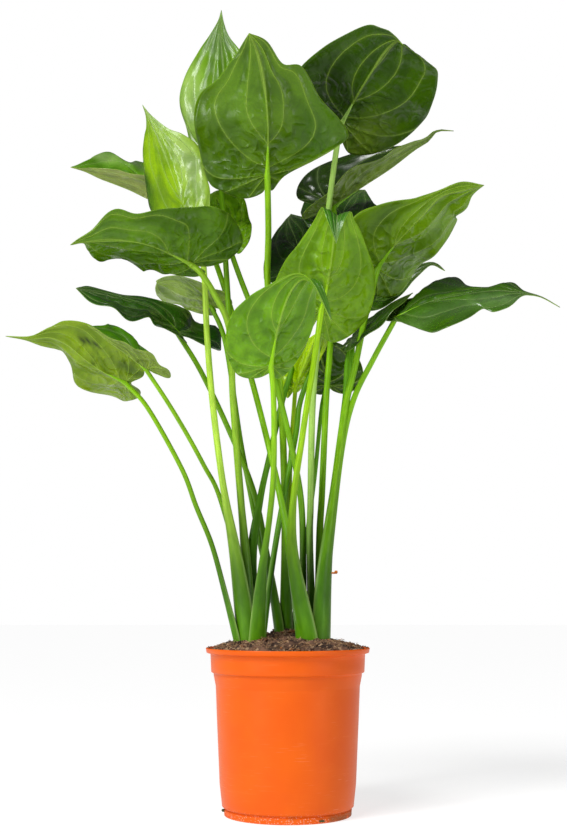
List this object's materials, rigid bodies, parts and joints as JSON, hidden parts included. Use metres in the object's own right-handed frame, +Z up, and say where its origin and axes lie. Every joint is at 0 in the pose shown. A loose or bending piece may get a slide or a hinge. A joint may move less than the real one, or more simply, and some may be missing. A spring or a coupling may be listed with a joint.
{
  "type": "potted foliage plant",
  "caption": "Potted chinese taro: clumps of long upright stalks with broad heart-shaped leaves, standing in soil in a plain orange plastic nursery pot",
  "frame": {"origin": "the middle of the pot's flat underside, on the pot's axis", "axes": "+Z is up along the pot's axis, -Y is the side the picture is taken from, +X is to the right as seen from there"},
  "size_m": [0.6443, 0.4207, 0.9672],
  "materials": {
    "leaf_front_low": "glossy green leaf on a satin stalk",
    "leaf_front_middle": "glossy green leaf on a satin stalk",
    "leaf_left_upright": "glossy green leaf on a satin stalk",
    "leaf_right_broad": "glossy green leaf on a satin stalk",
    "leaf_left_high": "glossy green leaf on a satin stalk",
    "leaf_left_low": "glossy green leaf on a satin stalk",
    "leaf_top_right": "glossy green leaf on a satin stalk",
    "leaf_left_broad": "glossy green leaf on a satin stalk",
    "leaf_top_front": "glossy green leaf on a satin stalk",
    "leaf_right_long": "glossy green leaf on a satin stalk",
    "leaf_left_inner": "glossy green leaf on a satin stalk",
    "leaf_right_high": "glossy green leaf on a satin stalk",
    "leaf_top_left": "glossy green leaf on a satin stalk",
    "leaf_left_dark": "glossy green leaf on a satin stalk",
    "leaf_back_right": "glossy green leaf on a satin stalk",
    "leaf_back_left": "glossy green leaf on a satin stalk",
    "leaf_left_folded": "glossy green leaf on a satin stalk",
    "leaf_left_back": "glossy green leaf on a satin stalk",
    "leaf_young": "glossy green leaf on a satin stalk",
    "leaf_low_back": "glossy green leaf on a satin stalk",
    "leaf_right_inner": "glossy green leaf on a satin stalk",
    "leaf_right_low": "glossy green leaf on a satin stalk",
    "soil": "loose coir and peat, dull",
    "pot": "smooth moulded orange plastic, soft shine"
  },
  "bodies": {
    "root": {"leaf_front_low": "leaf_front_low", "leaf_front_middle": "leaf_front_middle", "leaf_left_upright": "leaf_left_upright", "leaf_right_broad": "leaf_right_broad", "leaf_left_high": "leaf_left_high", "leaf_left_low": "leaf_left_low", "leaf_top_right": "leaf_top_right", "leaf_left_broad": "leaf_left_broad", "leaf_top_front": "leaf_top_front", "leaf_right_long": "leaf_right_long", "leaf_left_inner": "leaf_left_inner", "leaf_right_high": "leaf_right_high", "leaf_top_left": "leaf_top_left", "leaf_left_dark": "leaf_left_dark", "leaf_back_right": "leaf_back_right", "leaf_back_left": "leaf_back_left", "leaf_left_folded": "leaf_left_folded", "leaf_left_back": "leaf_left_back", "leaf_young": "leaf_young", "leaf_low_back": "leaf_low_back", "leaf_right_inner": "leaf_right_inner", "leaf_right_low": "leaf_right_low", "soil": "soil", "pot": "pot"}
  },
  "joints": []
}
